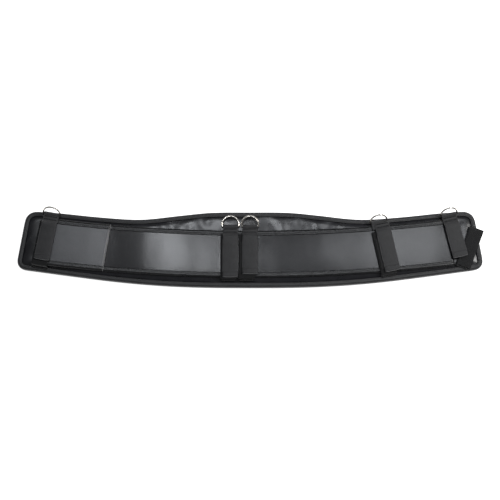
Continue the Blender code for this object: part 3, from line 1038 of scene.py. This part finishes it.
@dataclass
class BandLayer:
    """A stiff satin band with a folded tape along each long edge."""

    name: str
    node: str
    plan: PadPlan
    finishes: Finishes
    first: float
    last: float
    floor: float
    billow: float
    seed: float
    shear: float = 0.0
    tilt: float = 0.0
    bends: tuple[tuple[float, float, float], ...] = ()
    cloth: ClothFinish = BAND_CLOTH
    step: float = 3.0 * MM
    settle: float = 30.0 * MM

    def build(self) -> None:
        """Build and dress the band, its tapes and their stitches."""
        self._cloth()
        for edge, side in (("top", 1.0), ("bottom", -1.0)):
            self._tape(edge, side)

    def _stations(self) -> list[float]:
        """Where the band's cross-sections stand along X."""
        count = round((self.last - self.first) / self.step)
        return [self.first + (self.last - self.first) * i / count for i in range(count + 1)]

    def _place(self, x: float, offset: float, height: float) -> Vector:
        """A place in the band.

        Args:
            x: Where along the centreline.
            offset: Distance toward the upper edge.
            height: Height above the band's underside.

        Returns:
            The place, raised by the band's own waves.
        """
        near_end = smoothstep(0.06, 0.0, self.last - x)
        shifted = x + offset * self.shear * near_end
        rise = self.floor + height + self._wave(shifted, offset)
        return self.plan.band_point(shifted, offset) + Vector((0.0, 0.0, rise))

    def _wave(self, x: float, offset: float) -> float:
        """How far the band stands off what it lies on."""
        ease = smoothstep(0.0, self.settle, x - self.first) * smoothstep(0.0, self.settle, self.last - x)
        long = 0.5 + 0.5 * wobble(x / 0.060, offset / 0.15, seed=self.seed)
        short = wobble(x / 0.022, offset / 0.030, seed=self.seed + 3.0)
        lean = self.tilt * (self.last - x)
        bent = sum(rise * smoothstep(start, end, x) for start, end, rise in self.bends)
        return self.billow * (ease * long + 0.16 * short + 0.16) + lean + bent

    def _cloth(self) -> None:
        """The satin cloth between the tapes."""
        half = self.plan.band_half - 1.4 * MM
        offsets = np.linspace(half, -half, 31)
        rings = []
        for x in self._stations():
            crown = [0.5 * MM * (1 - (o / half) ** 2) for o in offsets]
            top = [self._place(x, o, 2.35 * MM + c) for o, c in zip(offsets, crown)]
            low = [self._place(x, o, 1.05 * MM) for o in reversed(offsets)]
            rings.append(top + low)
        piece = loft(self.name, rings)
        dress(piece, self.finishes.of(self.cloth), "pad", "band_fabric", self.node)

    def _tape(self, edge: str, side: float) -> None:
        """One folded edge tape and its stitches.

        Args:
            edge: Which long edge, for the names.
            side: 1 for the upper edge, -1 for the lower.
        """
        rings = []
        for i, x in enumerate(self._stations()):
            ring = []
            for inward, height in TAPE_SECTION:
                ruffle = 0.22 * MM * wobble(i * 0.42, inward * 0.2, seed=self.seed + side)
                offset = side * (self.plan.band_half - inward * MM + ruffle)
                ring.append(self._place(x, offset, height * MM))
            rings.append(ring)
        piece = loft(f"{self.name}_{edge}_tape", rings)
        node = f"{self.node}_{edge}_tape"
        dress(piece, self.finishes.of(EDGE_TAPE), "pad", "edge_tape", node)
        offset = side * (self.plan.band_half - 6.3 * MM)
        seam = [self._place(x, offset, 3.22 * MM) for x in self._stations()]
        row = stitches(f"{self.name}_{edge}_stitches", seam, [Vector((0, 0, 1))])
        dress(row, self.finishes.of(THREAD), "pad", "edge_tape")

    def painted_end_highlight(self) -> None:
        """A pale strand along the layer's end: a painted edge highlight."""
        half = self.plan.band_half
        rings = []
        for o in np.linspace(half, -half, 60):
            spot = self._place(self.last, o, 1.7 * MM)
            size = 0.50 * MM * (1 + 0.35 * wobble(o / 0.0016, seed=9.0))
            angles = [2 * math.pi * k / 10 for k in range(10)]
            rings.append(
                [spot + Vector((0.9 * size * math.cos(t), 0.0, 2.9 * size * math.sin(t))) for t in angles]
            )
        piece = loft(f"{self.name}_cut_edge", rings)
        dress(piece, self.finishes.of(END_HIGHLIGHT), "pad", "band_fabric")


# ---------------------------------------------------------------- keepers


@dataclass(frozen=True)
class Lay:
    """How a strap lies: where it starts, the flat way that it runs and the way across it."""

    origin: Vector
    run: Vector
    side: Vector

    def at(self, along: float, across: float, up: float) -> Vector:
        """A place on the strap, from measures in millimetres."""
        flat = self.origin + self.run * (along * MM) + self.side * (across * MM)
        return flat + Vector((0.0, 0.0, up * MM))


# Webbing's half-widths as shares, and its thickness at each.
WEBBING_ACROSS = (-1.0, -0.985, -0.94, -0.80, -0.55, -0.28, 0.0, 0.28, 0.55, 0.80, 0.94, 0.985, 1.0)
WEBBING_THICK = (0.30, 0.80, 1.0, 1.0, 0.92, 0.96, 1.0, 0.96, 0.92, 1.0, 1.0, 0.80, 0.30)
TIP_TAPER = (0.45, 0.85)


@dataclass
class Keeper:
    """One webbing keeper: ring tab, D-ring, front strap, hook strap and their pile."""

    name: str
    finishes: Finishes
    front_end: float
    seed: float
    open_strap: bool = False
    width: float = 24.0 * MM
    ply: float = 1.5 * MM
    wire: float = 1.35 * MM
    arch: float = 13.5 * MM
    arm: float = 3.0 * MM
    corner: float = 1.6 * MM
    # The hook strap's leftward offset and extra width lay a dark sheet where the shadow beside the front
    # strap falls: painted shadow.
    shadow_stray: float = 3.0 * MM
    spread: float = 1.5 * MM
    droop: float = 0.9 * MM
    bow: float = 0.35
    side_highlight_width: float = 0.9 * MM
    pile_start: float = 13.0

    def __post_init__(self) -> None:
        """Read the keeper's place from the frame's joints."""
        joints = {joint["name"]: joint for joint in frame["joints"]}
        ring = joints[f"{self.name}_ring_swing"]
        front = joints[f"{self.name}_front_lift"]
        hook = joints[f"{self.name}_hook_lift"]
        self.bar = Vector(ring["pos_m"])
        self.side = Vector(ring["axis"])
        self.up_belt = Vector((-self.side.y, self.side.x, 0.0))
        self.hinge = Vector(front["pos_m"])
        self.seam = Vector(hook["pos_m"])
        self.hook_side = Vector(hook["axis"])
        self.hook_run = Vector((-self.hook_side.y, self.hook_side.x, 0.0))
        self.ring_rise = -math.radians(ring["range_deg"][0])

    def build(self) -> None:
        """Build and dress every piece of the keeper."""
        self._ring_tab()
        self._ring()
        self._front_strap()
        self._hook_strap()

    def _strip(
        self, name: str, lay: Lay, line: Sequence[tuple[float, float]], width: float, thick: float,
        looseness: float = 0.0, droop: float = 0.0,
    ) -> Obj:
        """Webbing that follows a line drawn from its side.

        Args:
            name: The piece's name.
            lay: Where the line's (0, 0) is, and its directions.
            line: The webbing's middle as (along, up), in millimetres.
            width: The webbing's width.
            thick: Its thickness.
            looseness: How far its surface waves.
            droop: How far its long edges hang below its middle.

        Returns:
            The piece, with its own UVs.
        """
        flat = resampled([Vector((a, b, 0.0)) for a, b in line], 1.1, False)
        eased = [flat[0]]
        for before, here, after in zip(flat, flat[1:], flat[2:]):
            eased.append((before + here * 2 + after) / 4)
        eased.append(flat[-1])
        rings = []
        for i, (spot, left) in enumerate(zip(eased, lefts_of(eased, False))):
            end = min(i, len(eased) - 1 - i)
            taper = TIP_TAPER[end] if end < len(TIP_TAPER) else 1.0
            upper, lower = [], []
            for share, fat in zip(WEBBING_ACROSS, WEBBING_THICK):
                wave = looseness * wobble(i * 0.10, share * 1.2, seed=self.seed) - droop * abs(share) ** 3
                edge = 1.0 + 0.010 * wobble(i * 0.5, seed=self.seed + (1 if share > 0 else 2))
                across = share * width / 2 * edge / MM
                for sign, rail in ((1.0, upper), (-1.0, lower)):
                    at = spot + left * ((wave + sign * thick / 2 * fat * taper) / MM)
                    rail.append(lay.at(at.x, across, at.y))
            rings.append(upper + list(reversed(lower)))
        return loft(name, rings)

    def _ring_tab(self) -> None:
        """Webbing folded round the bar, with its two plies sewn together."""
        radius = (self.wire + 0.25 * MM + self.ply / 2) / MM
        line = [(-12.0, -0.78), (-2.4, -0.80)]
        for degrees in range(-145, 146, 10):
            t = math.radians(degrees)
            line.append((radius * math.cos(t), radius * math.sin(t)))
        line += [(-2.4, 0.80), (-12.0, 0.78)]
        lay = Lay(self.bar, self.up_belt, self.side)
        piece = self._strip(f"{self.name}_ring_tab_webbing", lay, line, self.width, self.ply)
        dress(piece, self.finishes.of(WEBBING), "pad", "webbing", f"{self.name}_ring_tab")

    def _ring(self) -> None:
        """A round-wire D-ring with eased corners and a butt weld in its bar."""
        plane = self.up_belt * math.cos(self.ring_rise) + Vector((0, 0, math.sin(self.ring_rise)))
        normal = self.side.cross(plane)
        eased = self.arch - self.corner
        flat = [Vector((0.0, 0.0, 0.0)), Vector((eased, 0.0, 0.0))]
        for k in range(1, 6):
            t = math.pi / 2 * k / 6
            corner = Vector((math.sin(t), 1.0 - math.cos(t), 0.0)) * self.corner
            flat.append(corner + Vector((eased, 0.0, 0.0)))
        for k in range(41):
            t = math.pi * k / 40
            flat.append(Vector((self.arch * math.cos(t), self.arm + self.arch * math.sin(t), 0.0)))
        flat += [Vector((-point.x, point.y, 0.0)) for point in reversed(flat[1:7])]
        path = resampled(flat, 0.9 * MM, True)
        turns = [2 * math.pi * k / 16 for k in range(16)]
        rings = []
        for i, (point, left) in enumerate(zip(path, lefts_of(path, True))):
            weld = 1.0 + 0.10 * math.exp(-((min(i, len(path) - i) / 1.2) ** 2))
            centre = self.bar + self.side * point.x + plane * point.y
            outward = self.side * left.x + plane * left.y
            radius = self.wire * weld
            rings.append([centre + (outward * math.cos(t) + normal * math.sin(t)) * radius for t in turns])
        piece = loft(f"{self.name}_ring_wire", rings, looped=True)
        dress(piece, self.finishes.of(NICKEL), f"{self.name}_ring", "nickel_wire", f"{self.name}_d_ring")

    def _front_strap(self) -> None:
        """The closing strap, sewn at its top and hemmed at its free end."""
        body = f"{self.name}_front"
        lay = Lay(self.hinge, -self.up_belt, self.side)
        length = self.front_end / MM
        rise = (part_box(f"{self.name}_front_strap")[1].z - self.hinge.z - self.ply / 2) / MM
        line = [(-5.0, -0.25), (0.0, 0.05), (3.0, 0.9), (6.2, rise - 1.3), (9.0, rise - 0.15), (13.0, rise)]
        for k in range(1, 13):
            share = k / 12
            line.append((13.0 + (length - 13.0) * share, rise - self.bow * math.sin(math.pi * share)))
        piece = self._strip(body + "_webbing", lay, line, self.width, self.ply, 0.22 * MM, self.droop)
        dress(piece, self.finishes.of(WEBBING), None, "webbing", body + "_strap")
        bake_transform(piece)
        hem_line = [(length - 9.0, rise + 0.95), (length - 0.4, rise + 0.95)]
        hem = self._strip(
            body + "_hem", lay, hem_line, self.width * 0.985, self.ply * 0.55, 0.06 * MM, self.droop
        )
        dress(hem, self.finishes.of(WEBBING), body, "webbing")
        # A pale folded lip at the strap's end: painted highlight on the hem's fold.
        lip_line = [(length - 0.5, rise + 1.35), (length + 0.25, rise + 0.6), (length + 0.25, rise - 0.9)]
        lip = self._strip(
            body + "_lip", lay, lip_line, self.width * 0.96, self.ply * 0.5, 0.04 * MM, self.droop
        )
        dress(lip, self.finishes.of(HEM_HIGHLIGHT), body, "webbing")
        # Thin lighter strands along both long edges of the strap: painted edge highlight.
        edge_line = [spot for spot in line if spot[0] > 9.0]
        for label, sign in (("right", 1.0), ("left", -1.0)):
            aside = sign * (self.width / 2 - 0.35 * MM)
            start = self.hinge + self.side * aside - Vector((0, 0, self.droop * 0.9))
            edge = self._strip(
                f"{body}_{label}_selvedge", Lay(start, -self.up_belt, self.side), edge_line,
                self.side_highlight_width, self.ply * 1.1,
            )
            dress(edge, self.finishes.of(WEBBING_SIDE_HIGHLIGHT), body, "webbing")
        hem_rows = ((length - 7.6, rise + 1.42), (length - 2.2, rise + 1.42))
        self._rows(f"{self.name}_hem_stitches", lay, hem_rows, body, THREAD)
        # Fat near-black rows across the tab: real stitches, and painted shade for the shaded fold lines.
        self._rows(f"{self.name}_tab_stitches", lay, ((-3.6, 0.72), (1.2, 1.15)), "pad", FOLD_SHADE_THREAD, 0.60)
        box_low, box_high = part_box(f"{self.name}_loop_pile")
        pile_height = ((box_low.z + box_high.z) / 2 - self.hinge.z) / MM
        ends = (self.pile_start, min(length - 4.0, 62.0))
        self._pile(f"{self.name}_loop_patch", lay, ends, pile_height, -1.0, body, f"{self.name}_loop_pile")

    def _hook_strap(self) -> None:
        """The strap sewn below the band, lying under the front strap or thrown open."""
        body = f"{self.name}_hook"
        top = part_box(f"{self.name}_hook_strap")[1].z
        rise = (top - self.seam.z - self.ply / 2) / MM
        width, seam, first, tip = self.width, self.seam, 3.0, 69.0
        line = [(0.0, 0.0), (4.0, 0.1), (9.0, rise), (30.0, rise + 0.8), (52.0, rise + 0.5)]
        line.append((tip, rise + 1.2))
        height = rise + self.ply / 2 / MM + 1.15
        # Closed keepers: the dark hook strap is widened and shifted left to fill the shadow beside the front
        # strap, a painted shadow.
        if not self.open_strap:
            width += self.spread
            seam = self.seam - self.hook_side * self.shadow_stray
            first, tip = self.pile_start, 64.0
            line = [(0.0, 0.0), (3.0, 0.05), (3.9, 1.4), (4.1, rise - 2.4), (5.2, rise - 0.5)]
            line += [(along, rise) for along in (8.0, 20.0, 40.0, 60.0, 75.0)]
            height -= 0.6
        lay = Lay(seam, self.hook_run, self.hook_side)
        piece = self._strip(body + "_webbing", lay, line, width, self.ply, 0.10 * MM)
        dress(piece, self.finishes.of(HOOK_WEBBING_AND_SHADE), None, "webbing", body + "_strap")
        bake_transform(piece)
        self._rows(f"{self.name}_seam_stitches", lay, ((0.9, 0.72), (2.2, 0.72)), "pad", THREAD)
        ends = (first, tip - 2.0)
        self._pile(body + "_patch", lay, ends, height, 1.0, body, body + "_pile")

    def _rows(
        self, name: str, lay: Lay, rows: Iterable[tuple[float, float]], body: str,
        finish: ClothFinish, fatness: float = 0.30,
    ) -> None:
        """Rows of stitches straight across the webbing.

        Args:
            name: The pieces' name, to which a number is added.
            lay: Where the rows' (0, 0) is, and their directions.
            rows: Each row as (along, up), in millimetres.
            body: The CAD body that the stitches move with.
            finish: The thread's finish.
            fatness: The thread's radius, in millimetres.
        """
        reach = self.width / 2 / MM - 1.6
        for i, (along, up) in enumerate(rows):
            ends = [lay.at(along, -reach, up), lay.at(along, reach, up)]
            row = stitches(f"{name}_{i}", ends, [Vector((0, 0, 1))], 2.6, thick=fatness)
            dress(row, self.finishes.of(finish), body, "webbing")

    def _pile(
        self, name: str, lay: Lay, ends: tuple[float, float], height: float, facing: float,
        body: str, node: str,
    ) -> None:
        """A patch of fuzzy pile, with short bristles where it lies open.

        Args:
            name: The patch's name.
            lay: Where its measures start, and their directions.
            ends: Where it starts and ends, in millimetres.
            height: Its middle's height over the start, in millimetres.
            facing: 1 where the bristles point up, -1 where they point down.
            body: The CAD body that it moves with.
            node: The CAD node that it stands for.
        """
        first, last = ends
        steps, lanes, half, thick = int((last - first) / 1.2), 18, 10.5, 0.38
        rings = []
        for i in range(steps + 1):
            along = first + (last - first) * i / steps
            top, low = [], []
            for k in range(lanes + 1):
                across = half * (2 * k / lanes - 1) + 0.25 * wobble(i * 0.7, k, seed=4.0)
                fuzz = 0.16 * wobble(i * 1.9, k * 1.7, seed=self.seed)
                edge = thick * (0.6 if k in (0, lanes) or i in (0, steps) else 1.0)
                top.append(lay.at(along, across, height + edge + (fuzz if facing > 0 else 0.0)))
                low.append(lay.at(along, across, height - edge - (fuzz if facing < 0 else 0.0)))
            rings.append(top + list(reversed(low)))
        dress(loft(name, rings), self.finishes.of(PILE), body, "pile", node)
        if self.open_strap and facing > 0:
            self._bristles(f"{name}_bristles", lay, ends, height + 0.35, body)

    def _bristles(self, name: str, lay: Lay, ends: tuple[float, float], height: float, body: str) -> None:
        """Short curled fibres standing on an open pile patch.

        Args:
            name: The piece's name.
            lay: Where its measures start, and their directions.
            ends: Where the patch starts and ends, in millimetres.
            height: Where the fibres root, in millimetres over the start.
            body: The CAD body that they move with.
        """
        bm = bmesh.new()
        spacing, reach = 0.85, 10.2
        for i in range(int((ends[1] - ends[0]) / spacing)):
            for k in range(-12, 13):
                u = ends[0] + i * spacing + 0.4 * wobble(i * 3.1, k * 2.3, seed=6.0)
                w = k * spacing + 0.4 * wobble(i * 2.7, k * 3.9, seed=7.0)
                if abs(w) > reach:
                    continue
                turn = 6.0 * wobble(i * 1.7, k * 1.3, seed=8.0)
                lean = lay.run * math.cos(turn) + lay.side * math.sin(turn)
                wide = lean.cross(Vector((0, 0, 1))) * (0.09 * MM)
                root = lay.at(u, w, height)
                knee = root + lean * (0.16 * MM) + Vector((0, 0, 0.55 * MM))
                tip = root + lean * (0.62 * MM) + Vector((0, 0, 0.62 * MM))
                corners = [bm.verts.new(p) for p in (root - wide, root + wide, knee + wide, knee - wide, tip)]
                bm.faces.new(corners[:4])
                bm.faces.new((corners[3], corners[2], corners[4]))
        dress(object_of(name, bm), self.finishes.of(PILE), body, "pile")


# ---------------------------------------------------------------- studio


@dataclass(frozen=True)
class Softbox:
    """One rectangular soft light."""

    name: str
    place: Vector
    aim: Vector
    size: tuple[float, float]
    power: float
    colour: RGB = (0.93, 0.96, 1.0)

    def build(self) -> None:
        """Hang the light."""
        data = bpy.data.lights.new(self.name, "AREA")
        data.shape = "RECTANGLE"
        data.size, data.size_y = self.size
        data.energy = self.power
        data.color = self.colour
        lamp = bpy.data.objects.new(self.name, data)
        lamp.location = self.place
        lamp.rotation_euler = (self.aim - self.place).to_track_quat("-Z", "Y").to_euler()
        bpy.context.scene.collection.objects.link(lamp)


SOFTBOXES = (
    Softbox("left_softbox", Vector((-0.18, 0.29, 1.5)), Vector((-0.1, 0.0, 0.0)), (0.16, 0.36), 3.7),
    Softbox("right_softbox", Vector((0.45, 0.29, 1.5)), Vector((0.25, 0.0, 0.0)), (0.36, 0.36), 3.05),
    Softbox("ceiling", Vector((0.0, 0.32, 1.6)), Vector((0.0, 0.3, 0.0)), (1.8, 0.5), 0.85),
    Softbox("key", Vector((1.05, 0.15, 1.25)), Vector(), (0.45, 0.45), 10.0, (1.0, 0.99, 0.97)),
)


@dataclass(frozen=True)
class Studio:
    """Pale floor, soft lights and the camera."""

    elevation: float = 80.0
    view_width: float = 0.802
    lens: float = 85.0
    target: tuple[float, float, float] = (0.0, 0.0, 0.008)
    world: float = 0.16

    def build(self) -> None:
        """Set up the floor, the lights and the camera."""
        self._floor()
        self._world()
        self._camera()
        for box in SOFTBOXES:
            box.build()
        scene = bpy.context.scene
        scene.view_settings.view_transform = "Standard"
        scene.view_settings.look = "None"

    def _floor(self) -> None:
        """A plain white table top."""
        bm = bmesh.new()
        bmesh.ops.create_grid(bm, x_segments=2, y_segments=2, size=25.0)
        floor = object_of("floor", bm)
        floor.location.z = -0.0004
        material, _, shader = fresh_material("white_table")
        shader.inputs["Base Color"].default_value = (0.92, 0.92, 0.92, 1.0)
        shader.inputs["Roughness"].default_value = 0.9
        shader.inputs["Specular IOR Level"].default_value = 0.1
        shader.inputs["Emission Color"].default_value = (1.0, 1.0, 1.0, 1.0)
        shader.inputs["Emission Strength"].default_value = 0.92
        floor.data.materials.append(material)

    def _world(self) -> None:
        """Even dim light from all round."""
        world = bpy.data.worlds.new("studio")
        world.use_nodes = True
        back = world.node_tree.nodes["Background"]
        back.inputs[0].default_value = (0.95, 0.97, 1.0, 1.0)
        back.inputs[1].default_value = self.world
        bpy.context.scene.world = world

    def _camera(self) -> None:
        """A long lens looking almost straight down from the lower edge's side."""
        data = bpy.data.cameras.new("camera")
        data.lens = self.lens
        camera = bpy.data.objects.new("camera", data)
        angle = math.radians(self.elevation)
        far = self.view_width / 2 / (data.sensor_width / 2 / self.lens)
        away = Vector((0.0, -math.cos(angle), math.sin(angle)))
        camera.location = Vector(self.target) + away * far
        camera.rotation_euler = (-away).to_track_quat("-Z", "Y").to_euler()
        bpy.context.scene.collection.objects.link(camera)
        bpy.context.scene.camera = camera


# ---------------------------------------------------------------- the whole belt


# Gentle bends of the band along X, as (start, end, rise).
BAND_BENDS = ((-0.235, -0.160, 2.2 * MM), (-0.150, -0.045, -2.2 * MM), (0.235, 0.290, 0.4 * MM))

# Each keeper's front strap length and how far its hook strap lies to the left, in millimetres. The leftward
# offset puts the dark hook strap where the shadow beside each keeper falls: a painted shadow.
STRAPS = {
    "left_end": (67.5, 3.0),
    "left_centre": (74.5, 3.0),
    "right_centre": (69.5, 5.4),
    "right_side": (74.5, 2.2),
    "right_end": (62.5, 3.0),
}
OPEN_KEEPER = "right_end"


def main() -> None:
    """Build the studio and every sub-assembly in order."""
    logging.basicConfig(level=logging.INFO, format="%(message)s")
    finishes = Finishes()
    plan = PadPlan()
    Studio().build()
    BackRest(plan, finishes).build()
    band_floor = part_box("front_band_top_tape")[0].z
    overlap_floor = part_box("overlap_panel_top_tape")[0].z
    BandLayer(
        "band_cloth", "front_band", plan, finishes, -0.330, 0.322, band_floor, 0.5 * MM, 1.0, bends=BAND_BENDS
    ).build()
    layer = BandLayer(
        "overlap_cloth", "overlap_panel", plan, finishes, -0.330, -0.229, overlap_floor, 0.5 * MM, 6.0,
        shear=0.07, tilt=0.024, cloth=OVERLAP_SHEEN_CLOTH,
    )
    layer.build()
    layer.painted_end_highlight()
    for seed, (name, (reach, shadow_stray)) in enumerate(STRAPS.items(), start=11):
        Keeper(
            name, finishes, reach * MM, seed, open_strap=name == OPEN_KEEPER, shadow_stray=shadow_stray * MM
        ).build()


if __name__ == "__main__":
    main()
